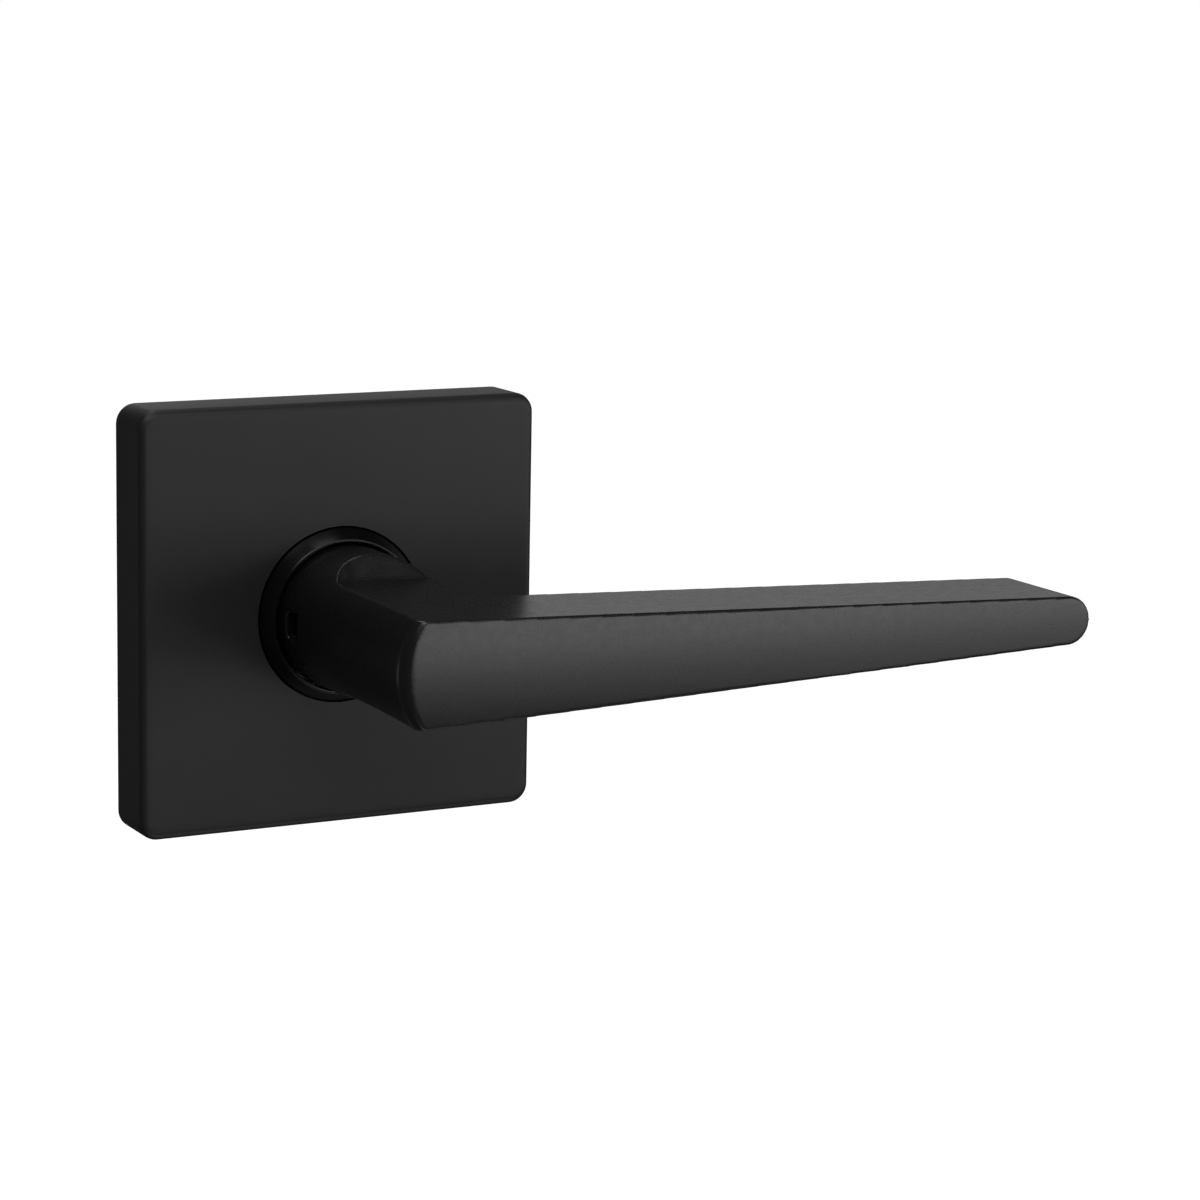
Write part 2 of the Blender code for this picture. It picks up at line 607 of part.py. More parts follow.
# ---- Rivets ----------------------------------------------------------------------------
for number, (x, z) in enumerate(rivet_x_z, start=1):
    flange_back = -GAP - HOUSING_WALL
    turned = lathe(
        [
            (0.0, PLATE_THICK + GAP + 0.8 * MM),
            (RIVET_HEAD * 0.7, PLATE_THICK + GAP + 0.7 * MM),
            (RIVET_HEAD, PLATE_THICK + GAP),
            (RIVET_RADIUS, PLATE_THICK + GAP),
            (RIVET_RADIUS, flange_back - GAP),
            (RIVET_HEAD, flange_back - GAP),
            (RIVET_HEAD * 0.7, flange_back - GAP - 0.7 * MM),
            (0.0, flange_back - GAP - 0.8 * MM),
        ],
        steps=24,
    )
    turned.transform(Matrix.Translation((x, 0, z)))
    finish(place(f"housing_rivet_{number}", turned), bright_steel)

# ---- Cam plate -------------------------------------------------------------------------
# A steel disc staked on the tube; its bent lug carries one leg of the return spring.
arm_turn = math.asin(LUG_HALF_WIDTH / CAM_RADIUS)
cam_outline = [(CAM_LUG_OUTER, -LUG_HALF_WIDTH), (CAM_LUG_OUTER, LUG_HALF_WIDTH)]
for i in range(57):
    turn = arm_turn + (math.tau - 2 * arm_turn) * i / 56
    cam_outline.append((CAM_RADIUS * math.cos(turn), CAM_RADIUS * math.sin(turn)))
cam_plate = place("cam_plate", prism(cam_outline, cam_back, CAM_HEIGHT))
combine(cam_plate, prism(disc(TUBE_RADIUS + GAP), cam_back - 1 * MM, CAM_HEIGHT + 1 * MM), "DIFFERENCE")
spring_back = SPRING_FRONT - SPRING_TURNS * SPRING_PITCH
lug_inset = 0.1 * MM
lug_x = (CAM_LUG_INNER, CAM_LUG_OUTER - lug_inset)
lug_z = (lug_inset - LUG_HALF_WIDTH, LUG_HALF_WIDTH - lug_inset)
combine(cam_plate, block(lug_x, (spring_back - 1.4 * MM, cam_back + 0.6 * MM), lug_z), "UNION")
finish(cam_plate, zinc_steel)

# ---- Return spring ---------------------------------------------------------------------
# Wound wire whose two legs lie either side of the fixed lug and of the cam plate's lug.
leg_z = LUG_HALF_WIDTH + GAP + SPRING_WIRE
leg_turn = math.asin(leg_z / SPRING_RADIUS)
leg_end = CAM_LUG_OUTER - 0.4 * MM
wire_points = []
coil_steps = 28
total_turn = math.tau * SPRING_TURNS + 2 * leg_turn
count = round(coil_steps * total_turn / math.tau)
for i in range(count + 1):
    turn = -leg_turn + total_turn * i / count
    drop = SPRING_FRONT + (spring_back - SPRING_FRONT) * i / count
    wire_points.append((SPRING_RADIUS * math.cos(turn), -drop, SPRING_RADIUS * math.sin(turn)))
wire_points = [(leg_end, -SPRING_FRONT, -leg_z)] + wire_points + [(leg_end, -spring_back, leg_z)]
wire = bpy.data.curves.new("return spring wire", "CURVE")
wire.dimensions = "3D"
wire.bevel_depth = SPRING_WIRE
wire.bevel_resolution = 2
wire.use_fill_caps = True
spline = wire.splines.new("POLY")
spline.points.add(len(wire_points) - 1)
for point, where in zip(spline.points, wire_points):
    point.co = (*where, 1.0)
wire_object = bpy.data.objects.new("return spring wire", wire)
cutters.objects.link(wire_object)
return_spring = place("return_spring", frozen(wire_object))
finish(return_spring, spring_steel, smooth=True)

# ---- Washer and retaining ring ---------------------------------------------------------
washer_back = washer_front - WASHER_THICK
washer_outline = [(RING_RADIUS + 0.8 * MM, washer_front), (RING_RADIUS + 0.8 * MM, washer_back)]
washer_outline += [(TUBE_RADIUS + GAP, washer_back), (TUBE_RADIUS + GAP, washer_front)]
thrust_washer = place("thrust_washer", lathe(washer_outline))
finish(thrust_washer, bright_steel)
opening = math.radians(28)
inner = groove_radius + GAP
turns = [opening + (math.tau - 2 * opening) * i / 40 for i in range(41)]
clip = [(RING_RADIUS * math.cos(t), RING_RADIUS * math.sin(t)) for t in turns]
clip += [(inner * math.cos(t), inner * math.sin(t)) for t in reversed(turns)]
retaining_ring = place("retaining_ring", prism(clip, ring_front - RING_THICK, ring_front))
finish(retaining_ring, spring_steel)
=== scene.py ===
"""Door lever handle on a square rose: the finished surfaces, light and camera.

The spindle axis is world Y. The door's face is the plane y = 0, -Y comes out of the door,
+X runs along the lever and +Z is up. All lengths are in metres.
"""

import math

import bmesh
import bpy
from mathutils import Matrix, Vector


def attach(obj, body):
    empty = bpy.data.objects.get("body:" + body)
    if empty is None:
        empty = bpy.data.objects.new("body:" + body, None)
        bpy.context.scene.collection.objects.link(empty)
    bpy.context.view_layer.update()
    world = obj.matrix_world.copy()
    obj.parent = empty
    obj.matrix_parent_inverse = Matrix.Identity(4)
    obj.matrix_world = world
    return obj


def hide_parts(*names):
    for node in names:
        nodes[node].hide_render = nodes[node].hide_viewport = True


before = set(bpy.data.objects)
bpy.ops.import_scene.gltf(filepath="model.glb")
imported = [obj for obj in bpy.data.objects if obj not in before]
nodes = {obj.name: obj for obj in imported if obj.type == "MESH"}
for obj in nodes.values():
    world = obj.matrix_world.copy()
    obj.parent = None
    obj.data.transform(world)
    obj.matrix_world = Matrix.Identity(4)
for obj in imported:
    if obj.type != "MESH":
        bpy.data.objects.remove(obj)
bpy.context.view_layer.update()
MM = 0.001

# ---- Rose ------------------------------------------------------------------------------
# The square cover that hides everything screwed to the door. A hollow zinc die casting
# with sides 66.7 mm long, its front edge rounded over, coated satin black all round.
rose_side = 66.7 * MM
rose_depth = 9.7 * MM
rose_corner = 3.1 * MM
rose_front_round = 1.3 * MM
rose_wall = 1.8 * MM
rose_hole = 14.0 * MM
corner_steps = 10
side_steps = 12


def rounded_square(half, corner, height):
    """Points round a square with rounded corners, anticlockwise as the hand sees it."""
    points = []
    inset = half - corner
    for quarter in range(4):
        middle = math.radians(45 + 90 * quarter)
        for i in range(corner_steps + 1):
            turn = middle + math.radians(90) * (i / corner_steps - 0.5)
            sx = math.copysign(1, math.cos(middle))
            sz = math.copysign(1, math.sin(middle))
            x = sx * inset + corner * math.cos(turn)
            z = sz * inset + corner * math.sin(turn)
            points.append((x, -height, z))
        ahead = middle + math.radians(90)
        sx = math.copysign(1, math.cos(ahead))
        sz = math.copysign(1, math.sin(ahead))
        first = middle + math.radians(45)
        start = Vector(points[-1])
        end_x = sx * inset + corner * math.cos(first)
        end_z = sz * inset + corner * math.sin(first)
        end = Vector((end_x, -height, end_z))
        for i in range(1, side_steps):
            points.append(tuple(start.lerp(end, i / side_steps)))
    return points


def drawn_circle(radius, height, like):
    """A circle with one point for each of another loop's, at the same bearings."""
    bearings = [math.atan2(z, x) for x, _, z in like]
    return [(radius * math.cos(b), -height, radius * math.sin(b)) for b in bearings]


def skin_of(name, loops, closed=True):
    """One mesh through a list of equal loops, the last joined back to the first."""
    count = len(loops[0])
    verts = [point for loop in loops for point in loop]
    faces = []
    for a in range(len(loops) if closed else len(loops) - 1):
        b = (a + 1) % len(loops)
        for i in range(count):
            j = (i + 1) % count
            faces.append((a * count + i, a * count + j, b * count + j, b * count + i))
    mesh = bpy.data.meshes.new(name)
    mesh.from_pydata(verts, [], faces)
    work = bmesh.new()
    work.from_mesh(mesh)
    bmesh.ops.remove_doubles(work, verts=work.verts, dist=1e-7)
    loose = [edge for edge in work.edges if not edge.link_faces]
    bmesh.ops.delete(work, geom=loose, context="EDGES")
    bmesh.ops.recalc_face_normals(work, faces=work.faces)
    work.to_mesh(mesh)
    work.free()
    return mesh


def piece(name, mesh, sharp=35):
    """The named object of a mesh, smooth but for edges that turn more than sharp degrees."""
    made = bpy.data.objects.new(name, mesh)
    bpy.context.scene.collection.objects.link(made)
    mesh.shade_smooth()
    mesh.set_sharp_from_angle(angle=math.radians(sharp))
    return made


half = rose_side / 2
loops = []
for height in (0.0, 1.5 * MM, rose_depth - rose_front_round):
    loops.append(rounded_square(half, rose_corner, height))
for i in range(1, 9):
    turn = math.radians(90) * i / 8
    inset = rose_front_round * (1 - math.cos(turn))
    height = rose_depth - rose_front_round * (1 - math.sin(turn))
    loops.append(rounded_square(half - inset, rose_corner - inset, height))
flat_edge = rounded_square(half - 2.2 * MM, 0.9 * MM, rose_depth)
loops.append(flat_edge)
for share in (0.35, 0.7, 1.0):
    ring = drawn_circle(rose_hole, rose_depth, flat_edge)
    loops.append([tuple(Vector(a).lerp(Vector(b), share)) for a, b in zip(flat_edge, ring)])
loops.append(drawn_circle(rose_hole, rose_depth - rose_wall, flat_edge))
inner = half - rose_wall
loops.append(rounded_square(inner - 1 * MM, 0.6 * MM, rose_depth - rose_wall))
loops.append(rounded_square(inner, rose_corner - rose_wall, rose_depth - rose_wall - 1 * MM))
loops.append(rounded_square(inner, rose_corner - rose_wall, 0.0))
rose = piece("rose_cover", skin_of("rose cover", loops))


def linear(hexcode):
    """An sRGB hex colour as linear RGBA."""
    channels = [int(hexcode[i : i + 2], 16) / 255 for i in (0, 2, 4)]
    return (*[c / 12.92 if c <= 0.04045 else ((c + 0.055) / 1.055) ** 2.4 for c in channels], 1.0)


def node(tree, kind, settings=None, links=None):
    """Adds a node to a tree, with its settings, input values and links."""
    made = tree.nodes.new(kind)
    for key, value in (settings or {}).items():
        if hasattr(made, key):
            setattr(made, key, value)
        else:
            made.inputs[key].default_value = value
    for key, source in (links or {}).items():
        tree.links.new(source, made.inputs[key])
    return made


def new_material(name):
    """An empty material with its shader and its Object coordinates."""
    material = bpy.data.materials.new(name)
    material.use_nodes = True
    tree = material.node_tree
    shader = tree.nodes["Principled BSDF"]
    where = node(tree, "ShaderNodeTexCoord").outputs["Object"]
    return material, tree, shader, where


# Satin black e-coat over a tumbled zinc die casting: a smooth film with a faint orange
# peel about 1.5 mm across and a fine tooth, so that highlights spread softly but a
# surface seen edge on still mirrors what stands behind it.
satin_black, tree, shader, where = new_material("satin black coat on die-cast zinc")
peel = node(tree, "ShaderNodeTexNoise", {"Scale": 650.0, "Detail": 2.0}, {"Vector": where})
tooth = node(tree, "ShaderNodeTexNoise", {"Scale": 5200.0, "Detail": 3.0}, {"Vector": where})
cloud = node(tree, "ShaderNodeTexNoise", {"Scale": 60.0, "Detail": 3.0}, {"Vector": where})
shade = node(tree, "ShaderNodeValToRGB", links={"Fac": cloud.outputs["Fac"]})
shade.color_ramp.elements[0].position = 0.3
shade.color_ramp.elements[0].color = linear("2B292A")
shade.color_ramp.elements[1].position = 0.7
shade.color_ramp.elements[1].color = linear("2E2C2D")
rough = node(
    tree,
    "ShaderNodeMapRange",
    {"From Min": 0.3, "From Max": 0.7, "To Min": 0.4, "To Max": 0.46},
    {"Value": tooth.outputs["Fac"]},
)
wave = node(
    tree,
    "ShaderNodeBump",
    {"Strength": 0.05, "Distance": 0.00002},
    {"Height": peel.outputs["Fac"]},
)
grit = node(
    tree,
    "ShaderNodeBump",
    {"Strength": 0.08, "Distance": 0.00001},
    {"Height": tooth.outputs["Fac"], "Normal": wave.outputs["Normal"]},
)
tree.links.new(shade.outputs["Color"], shader.inputs["Base Color"])
tree.links.new(rough.outputs["Result"], shader.inputs["Roughness"])
tree.links.new(grit.outputs["Normal"], shader.inputs["Normal"])
shader.inputs["IOR"].default_value = 1.5
rose.data.materials.append(satin_black)
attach(rose, "base")
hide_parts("rose")

# ---- Neck bush -------------------------------------------------------------------------
# A black acetal ring that snaps into the rose and carries the neck. Its lip stands just
# proud of the rose's face, bevelled, with a narrow flat rim round the neck.
bush_bore = 11.75 * MM
bush_rim = 12.25 * MM
bush_lip = 13.7 * MM
bush_front = 12.1 * MM
bush_flange = 16.0 * MM
bush_back = 5.9 * MM


def eased(profile, radius, steps=4):
    """A closed profile of (radius, height) points with every corner rounded off."""
    out = []
    count = len(profile)
    for i, here in enumerate(profile):
        point = Vector(here)
        before = Vector(profile[i - 1]) - point
        after = Vector(profile[(i + 1) % count]) - point
        reach = min(radius, before.length * 0.45, after.length * 0.45)
        a = point + before.normalized() * reach
        b = point + after.normalized() * reach
        for s in range(steps + 1):
            t = s / steps
            curve = a * (1 - t) ** 2 + point * 2 * t * (1 - t) + b * t**2
            out.append((curve.x, curve.y))
    return out


def turned(name, profile, steps=160):
    """A mesh turned about the spindle axis from a closed profile of (radius, height)."""
    loops = []
    for radius, height in profile:
        turns = [math.tau * i / steps for i in range(steps)]
        loops.append([(radius * math.cos(t), -height, radius * math.sin(t)) for t in turns])
    return skin_of(name, loops)


bush_profile = [
    (bush_bore, bush_front),
    (bush_rim, bush_front),
    (bush_lip, rose_depth + 0.1 * MM),
    (bush_lip, rose_depth - rose_wall - 0.3 * MM),
    (bush_flange, rose_depth - rose_wall - 0.3 * MM),
    (bush_flange, bush_back),
    (bush_bore, bush_back),
]
bush = piece("neck_collar", turned("neck collar", eased(bush_profile, 0.16 * MM)), sharp=60)

# Black acetal as it comes from a polished mould: near black right through, glossy, with
# the faintest flow marks round the ring.
acetal, tree, shader, where = new_material("moulded black acetal")
flow = node(tree, "ShaderNodeTexNoise", {"Scale": 900.0, "Detail": 2.0}, {"Vector": where})
sheen = node(
    tree,
    "ShaderNodeMapRange",
    {"From Min": 0.3, "From Max": 0.7, "To Min": 0.2, "To Max": 0.26},
    {"Value": flow.outputs["Fac"]},
)
tint = node(tree, "ShaderNodeValToRGB", links={"Fac": flow.outputs["Fac"]})
tint.color_ramp.elements[0].color = linear("050505")
tint.color_ramp.elements[1].color = linear("080808")
ripple = node(
    tree,
    "ShaderNodeBump",
    {"Strength": 0.04, "Distance": 0.00001},
    {"Height": flow.outputs["Fac"]},
)
tree.links.new(tint.outputs["Color"], shader.inputs["Base Color"])
tree.links.new(sheen.outputs["Result"], shader.inputs["Roughness"])
tree.links.new(ripple.outputs["Normal"], shader.inputs["Normal"])
shader.inputs["IOR"].default_value = 1.48
bush.data.materials.append(acetal)
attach(bush, "base")
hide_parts("neck_bush")

# ---- Lever -----------------------------------------------------------------------------
# One zinc die casting: a round neck that flares towards the hand, pared flat above and
# below in front of two scooped walls, and a bar that tapers to a half-round nose.
lever_out = 58.6 * MM
lever_reach = 107.4 * MM
lever_thick = 18.7 * MM
half_at_axis = 7.76 * MM
half_at_nose = 3.9 * MM
front_crown = 0.4 * MM
neck_radius = 11.3 * MM
waist_radius = 11.5 * MM
waist_height = 33.0 * MM
head_radius = 12.2 * MM
head_fillet = 1.9 * MM
flat_start = 23.3 * MM
wall_lean = 2.5 * MM
wall_corner = 4.5 * MM
armpit = 3.4 * MM
neck_end = 7.4 * MM
neck_straight = 13.1 * MM
bore_radius = 7.5 * MM
tube_bore = 5.95 * MM
bore_top = 20.8 * MM
bore_key_half = 6.7 * MM
catch_height = 16.3 * MM
catch_gap = 2.1 * MM
tall = 14 * MM


def mesh_object(name, verts, faces):
    """A solid from points and faces, its faces turned outwards, for shaping another."""
    mesh = bpy.data.meshes.new(name)
    work = bmesh.new()
    corners = [work.verts.new(v) for v in verts]
    for face in faces:
        work.faces.new([corners[i] for i in face])
    bmesh.ops.recalc_face_normals(work, faces=work.faces)
    work.to_mesh(mesh)
    work.free()
    made = bpy.data.objects.new(name, mesh)
    bpy.context.scene.collection.objects.link(made)
    return made


def slab(name, outline, low, high, axis="Y"):
    """A flat outline made thick. Along Y it is (x, z) between two heights out of the door,
    along Z it is (x, height), and along X it is (height, z)."""
    place = {
        "Y": lambda p, q, w: (p, -w, q),
        "Z": lambda p, q, w: (p, -q, w),
        "X": lambda p, q, w: (w, -p, q),
    }[axis]
    count = len(outline)
    verts = [place(p, q, w) for w in (low, high) for p, q in outline]
    faces = [tuple(range(count)), tuple(range(2 * count - 1, count - 1, -1))]
    for i in range(count):
        j = (i + 1) % count
        faces.append((i, j, count + j, count + i))
    return mesh_object(name, verts, faces)


def shape(target, tool, operation):
    """Applies a Boolean to target and takes the tool away."""
    cut = target.modifiers.new(operation, "BOOLEAN")
    cut.operation = operation
    cut.solver = "EXACT"
    cut.object = tool
    settle(target)
    bpy.data.objects.remove(tool)


def settle(target):
    """Makes an object's modifiers permanent."""
    bpy.context.view_layer.update()
    graph = bpy.context.evaluated_depsgraph_get()
    mesh = bpy.data.meshes.new_from_object(target.evaluated_get(graph), depsgraph=graph)
    work = bmesh.new()
    work.from_mesh(mesh)
    bmesh.ops.remove_doubles(work, verts=work.verts, dist=1e-6)
    bmesh.ops.dissolve_degenerate(work, edges=work.edges, dist=1e-6)
    work.to_mesh(mesh)
    work.free()
    target.modifiers.clear()
    target.data = mesh


def round_bar(name, radius, low, high, steps=128):
    """A plain cylinder along Y between two heights out of the door."""
    turns = [math.tau * i / steps for i in range(steps)]
    return slab(name, [(radius * math.cos(t), radius * math.sin(t)) for t in turns], low, high)


neck = [(0.0, lever_out)]
for i in range(17):
    turn = math.radians(90) * i / 16
    radius = head_radius - head_fillet * (1 - math.sin(turn))
    neck.append((radius, lever_out - head_fillet * (1 - math.cos(turn))))
shoulder = lever_out - head_fillet
for i in range(1, 25):
    down = i / 24
    radius = waist_radius + (head_radius - waist_radius) * (1 - down) ** 2
    neck.append((radius, shoulder + (waist_height - shoulder) * down))
for i in range(1, 17):
    down = i / 16
    blend = down * down * (3 - 2 * down)
    radius = waist_radius + (neck_radius - waist_radius) * blend
    neck.append((radius, waist_height + (neck_straight - waist_height) * down))
neck += [(neck_radius, neck_end), (0.0, neck_end)]
lever = bpy.data.objects.new("lever_body", turned("lever body", neck, steps=256))
bpy.context.scene.collection.objects.link(lever)

back = lever_out - lever_thick
front = lever_out + 1 * MM
web = math.sqrt(waist_radius**2 - half_at_axis**2) + 0.3 * MM
plan = [(0.0, front), (0.0, flat_start + 1 * MM), (web, flat_start + 1 * MM), (web, back - armpit)]
for i in range(1, 17):
    turn = math.radians(90) * i / 16
    plan.append((web + armpit * (1 - math.cos(turn)), back - armpit * (1 - math.sin(turn))))
plan += [(lever_reach + 3 * MM, back), (lever_reach + 3 * MM, front)]
shape(lever, slab("bar", plan, -tall, tall, axis="Z"), "UNION")

taper = (half_at_axis - half_at_nose) / (lever_reach - half_at_nose)
left = -16 * MM
half_left = half_at_axis - taper * left
outline = [(left, half_left), (left, -half_left)]
for i in range(33):
    turn = math.radians(-90 + 180 * i / 32)
    x = lever_reach - half_at_nose * (1 - math.cos(turn))
    outline.append((x, half_at_nose * math.sin(turn)))
trim = slab("trim", outline, neck_end + 6 * MM, lever_out + 4 * MM)
corner_x = wall_corner - math.sqrt(waist_radius**2 - half_left**2)
keep = [(14 * MM, neck_end - 2 * MM), (14 * MM, flat_start)]
for i in range(17):
    turn = math.radians(90) * i / 16
    x = corner_x - wall_corner * math.sin(turn)
    keep.append((x, flat_start + wall_corner * (1 - math.cos(turn))))
keep += [(-14 * MM, flat_start + wall_corner), (-14 * MM, neck_end - 2 * MM)]
lean = wall_lean / (waist_radius - half_at_axis)
verts = []
for z in (-tall, 0.0, tall):
    drop = lean * (abs(z) - half_at_axis)
    verts += [(x, -max(height - drop, neck_end - 2 * MM), z) for x, height in keep]
count = len(keep)
faces = [tuple(range(count)), tuple(range(3 * count - 1, 2 * count - 1, -1))]
for a in (0, count):
    for i in range(count):
        j = (i + 1) % count
        faces.append((a + i, a + j, a + count + j, a + count + i))
shape(trim, mesh_object("full round", verts, faces), "UNION")
shape(lever, trim, "INTERSECT")
crown = [(neck_end - 3 * MM, -tall)]
for i in range(33):
    z = tall * (i / 16 - 1)
    crown.append((lever_out - front_crown * (z / half_at_axis) ** 2, z))
crown.append((neck_end - 3 * MM, tall))
shape(lever, slab("crown", crown, -20 * MM, lever_reach + 5 * MM, axis="X"), "INTERSECT")
bore = round_bar("bore", bore_radius, neck_end - 2 * MM, bore_top)
key = [
    (-tall, -bore_key_half),
    (tall, -bore_key_half),
    (tall, bore_key_half),
    (-tall, bore_key_half),
]
shape(bore, slab("key", key, neck_end - 3 * MM, bore_top + 1 * MM), "INTERSECT")
shape(lever, bore, "DIFFERENCE")
slot_outline = [
    (-tall, -catch_gap),
    (-tube_bore, -catch_gap),
    (-tube_bore, catch_gap),
    (-tall, catch_gap),
]
slot_low = catch_height - catch_gap
slot_high = catch_height + catch_gap
shape(lever, slab("catch slot", slot_outline, slot_low, slot_high), "DIFFERENCE")

# The die's edges are never knife sharp: a fine even skin, eased a little, rounds them all.
# The skin is finer than the flat faces need, so its faces are then thinned to a quarter.
skin = lever.modifiers.new("even skin", "REMESH")
skin.mode = "VOXEL"
skin.voxel_size = 0.2 * MM
ease = lever.modifiers.new("eased edges", "SMOOTH")
ease.factor = 0.5
ease.iterations = 10
thin = lever.modifiers.new("fewer faces", "DECIMATE")
thin.ratio = 0.25
settle(lever)
lever.data.shade_smooth()
lever.data.materials.clear()
# Painted light: the lever gets a copy of the rose's satin black with a darker colour, lower roughness
# and stronger reflection. It reads darker in its shade and brighter on its lit front face than the
# rose's coat would under the same lamps.
lever_black_painted_light, tree, shader, where = new_material("lever black with painted shade and sheen")
peel = node(tree, "ShaderNodeTexNoise", {"Scale": 650.0, "Detail": 2.0}, {"Vector": where})
cloud = node(tree, "ShaderNodeTexNoise", {"Scale": 60.0, "Detail": 3.0}, {"Vector": where})
# Painted shade: these blacks sit below the rose's, so the lever's sides read darker than the light
# alone makes them.
shade = node(tree, "ShaderNodeValToRGB", links={"Fac": cloud.outputs["Fac"]})
shade.color_ramp.elements[0].position = 0.3
shade.color_ramp.elements[0].color = linear("1A1819")
shade.color_ramp.elements[1].position = 0.7
shade.color_ramp.elements[1].color = linear("1D1B1C")
rough = node(
    tree,
    "ShaderNodeMapRange",
    {"From Min": 0.3, "From Max": 0.7, "To Min": 0.25, "To Max": 0.29},
    {"Value": peel.outputs["Fac"]},
)
wave = node(
    tree,
    "ShaderNodeBump",
    {"Strength": 0.015, "Distance": 0.00002},
    {"Height": peel.outputs["Fac"]},
)
tree.links.new(shade.outputs["Color"], shader.inputs["Base Color"])
tree.links.new(rough.outputs["Result"], shader.inputs["Roughness"])
tree.links.new(wave.outputs["Normal"], shader.inputs["Normal"])
shader.inputs["IOR"].default_value = 1.5
# Painted sheen: the raised reflection level brightens the lever's front face beyond the rose's coat.
shader.inputs["Specular IOR Level"].default_value = 0.78
lever.data.materials.append(lever_black_painted_light)
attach(lever, "lever_assembly")
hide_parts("lever")

# ---- Hidden works ----------------------------------------------------------------------
# What the rose and the door hide: plated steel, a bare casting and spring wire.


def dress(names, material):
    """Gives CAD nodes a finish."""
    for name in names:
        data = nodes[name].data
        data.materials.clear()
        data.materials.append(material)


def metal(name, dark, light, low, high, scale, bump=0.1):
    """A bare or plated metal whose tint, roughness and relief share one fine grain."""
    material, tree, shader, where = new_material(name)
    grain = node(tree, "ShaderNodeTexNoise", {"Scale": scale, "Detail": 4.0}, {"Vector": where})
    tint = node(tree, "ShaderNodeValToRGB", links={"Fac": grain.outputs["Fac"]})
    tint.color_ramp.elements[0].position = 0.3
    tint.color_ramp.elements[0].color = linear(dark)
    tint.color_ramp.elements[1].position = 0.7
    tint.color_ramp.elements[1].color = linear(light)
    rough = node(
        tree,
        "ShaderNodeMapRange",
        {"From Min": 0.3, "From Max": 0.7, "To Min": low, "To Max": high},
        {"Value": grain.outputs["Fac"]},
    )
    relief = node(
        tree,
        "ShaderNodeBump",
        {"Strength": bump, "Distance": 0.00002},
        {"Height": grain.outputs["Fac"]},
    )
    tree.links.new(tint.outputs["Color"], shader.inputs["Base Color"])
    tree.links.new(rough.outputs["Result"], shader.inputs["Roughness"])
    tree.links.new(relief.outputs["Normal"], shader.inputs["Normal"])
    shader.inputs["Metallic"].default_value = 1.0
    return material


plated = metal("clear zinc plate on steel", "A9ACB2", "C3C6CA", 0.24, 0.36, 700.0)
casting = metal("bare zinc casting", "85878A", "A2A4A6", 0.38, 0.52, 1100.0, bump=0.3)
bright = metal("bright turned steel", "B4B4B2", "CFCFCD", 0.18, 0.3, 1500.0)
spring_wire = metal("oiled spring steel", "3C3D41", "5A5B60", 0.26, 0.4, 1200.0)
dress(["mounting_plate", "upper_post", "lower_post", "drive_tube", "spindle", "cam_plate"], plated)
dress(["spring_housing"], casting)
dress([f"housing_rivet_{number}" for number in range(1, 5)] + ["thrust_washer", "spindle_pin"], bright)
dress(["return_spring", "retaining_ring", "catch_spring", "lever_catch"], spring_wire)

# ---- Studio ----------------------------------------------------------------------------
# A white floor well below the handle, white all round, and soft panels for the light.
scene = bpy.context.scene
scene.view_settings.view_transform = "Standard"
floor_mesh = bpy.data.meshes.new("studio floor")
reach = 4.0
drop = -0.45
floor_corners = [
    (-reach, -reach, drop),
    (reach, -reach, drop),
    (reach, reach, drop),
    (-reach, reach, drop),
]
floor_mesh.from_pydata(floor_corners, [], [(0, 1, 2, 3)])
floor = bpy.data.objects.new("studio_floor", floor_mesh)
scene.collection.objects.link(floor)
pale, tree, shader, where = new_material("white paper sweep")
paper = node(tree, "ShaderNodeTexNoise", {"Scale": 3.0, "Detail": 2.0}, {"Vector": where})
paper_tint = node(tree, "ShaderNodeValToRGB", links={"Fac": paper.outputs["Fac"]})
paper_tint.color_ramp.elements[0].color = linear("FCFCFC")
paper_tint.color_ramp.elements[1].color = linear("FFFFFF")
tree.links.new(paper_tint.outputs["Color"], shader.inputs["Base Color"])
tree.links.new(paper_tint.outputs["Color"], shader.inputs["Emission Color"])
shader.inputs["Emission Strength"].default_value = 1.0
floor_mesh.materials.append(pale)
floor.visible_glossy = False
floor.visible_diffuse = False
floor.visible_shadow = False

world = bpy.data.worlds.new("white studio")
scene.world = world
world.use_nodes = True
tree = world.node_tree
tree.nodes.clear()
seen = node(tree, "ShaderNodeLightPath").outputs["Is Camera Ray"]
room = node(tree, "ShaderNodeBackground", {"Color": (1, 1, 1, 1), "Strength": 0.05})
paper_white = node(tree, "ShaderNodeBackground", {"Color": (1, 1, 1, 1), "Strength": 1.0})
mixed = node(
    tree,
    "ShaderNodeMixShader",
    links={0: seen, 1: room.outputs[0], 2: paper_white.outputs[0]},
)
node(tree, "ShaderNodeOutputWorld", links={"Surface": mixed.outputs[0]})


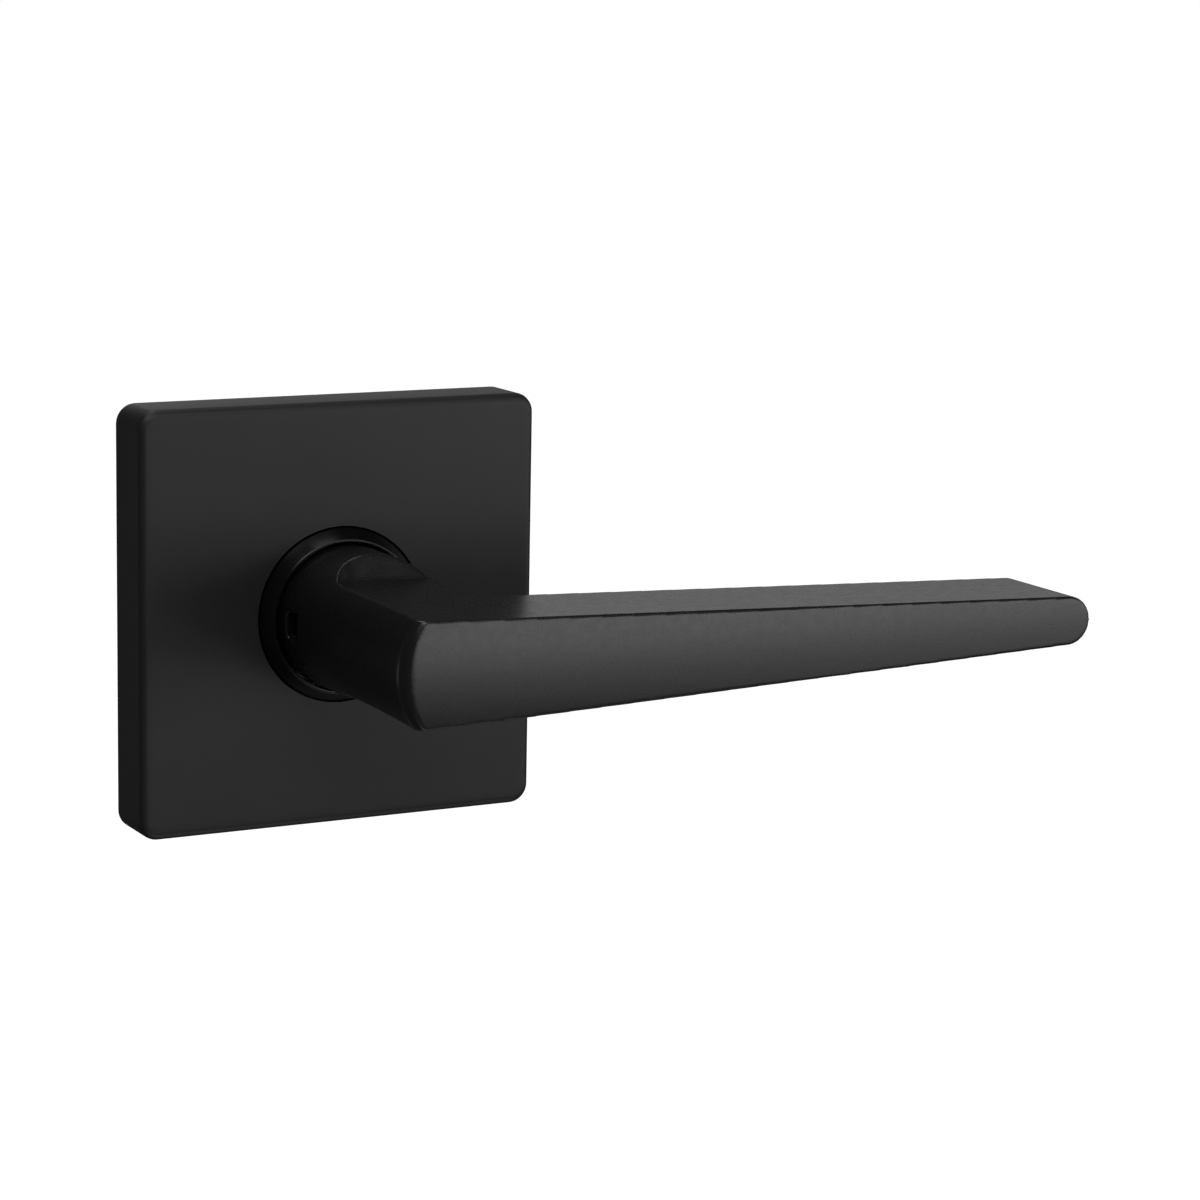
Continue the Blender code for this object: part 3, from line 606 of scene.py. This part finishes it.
def panel(name, bearing, elevation, distance, width, height, radiance):
    """A soft panel aimed at the handle. Bearing 0 is in front, 90 at the lever's end."""
    a, e = math.radians(bearing), math.radians(elevation)
    out = Vector((math.sin(a) * math.cos(e), -math.cos(a) * math.cos(e), math.sin(e)))
    data = bpy.data.lights.new(name, "AREA")
    data.shape = "RECTANGLE"
    data.size = width
    data.size_y = height
    data.energy = radiance * width * height * math.pi
    lamp = bpy.data.objects.new(name, data)
    lamp.location = out * distance + Vector((0.03, -0.02, 0.0))
    lamp.rotation_mode = "QUATERNION"
    lamp.rotation_quaternion = out.to_track_quat("Z", "Y")
    scene.collection.objects.link(lamp)


panel("front right softbox", 34, 0, 1.2, 0.55, 0.36, 1.75)
panel("front right wing", 58, 4, 1.2, 0.4, 0.3, 1.5)
panel("right side panel", 76, 3, 1.2, 0.3, 0.9, 0.67)
panel("front right low softbox", 42, -14, 1.2, 0.8, 0.26, 0.65)
panel("front right high softbox", 66, 20, 1.2, 0.5, 0.3, 0.6)
panel("front fill", 14, -3, 1.2, 0.45, 0.4, 0.6)
panel("upper front softbox", 6, 20, 1.2, 0.3, 0.3, 0.8)
panel("upper front panel", 2, 38, 1.2, 0.8, 0.35, 2.1)
panel("upper left lamp", -36, 56, 1.2, 0.6, 0.5, 2.0)
panel("high left lamp", -60, 60, 1.2, 0.4, 0.4, 0.37)
panel("overhead panel", 0, 84, 1.2, 0.5, 0.5, 0.8)
panel("back overhead panel", 180, 62, 1.2, 0.6, 0.5, 1.7)
panel("front bounce", 15, -62, 1.2, 1.0, 0.7, 0.6)
panel("back right strip", 146, 14, 1.3, 1.0, 0.4, 0.4)
panel("back strip", 172, 12, 1.3, 0.4, 0.4, 0.5)
panel("back left lamp", -130, -8, 1.2, 0.35, 0.35, 0.3)

# The camera stands to the left of the lever, a little above it.
azimuth, elevation, roll = (math.radians(a) for a in (28.105, 10.474, 1.067))
level = math.cos(elevation)
forward = Vector((math.sin(azimuth) * level, math.cos(azimuth) * level, -math.sin(elevation)))
right = forward.cross(Vector((0, 0, 1))).normalized()
up = right.cross(forward)
right, up = (
    right * math.cos(roll) + up * math.sin(roll),
    up * math.cos(roll) - right * math.sin(roll),
)
lens = bpy.data.cameras.new("product camera")
lens.lens = 107.683
lens.sensor_width = 36.0
lens.clip_start = 0.01
lens.clip_end = 50.0
camera = bpy.data.objects.new("product camera", lens)
turn = Matrix((right, up, -forward)).transposed().to_4x4()
camera.matrix_world = Matrix.Translation((-0.22352, -0.51383, 0.10471)) @ turn
scene.collection.objects.link(camera)
scene.camera = camera
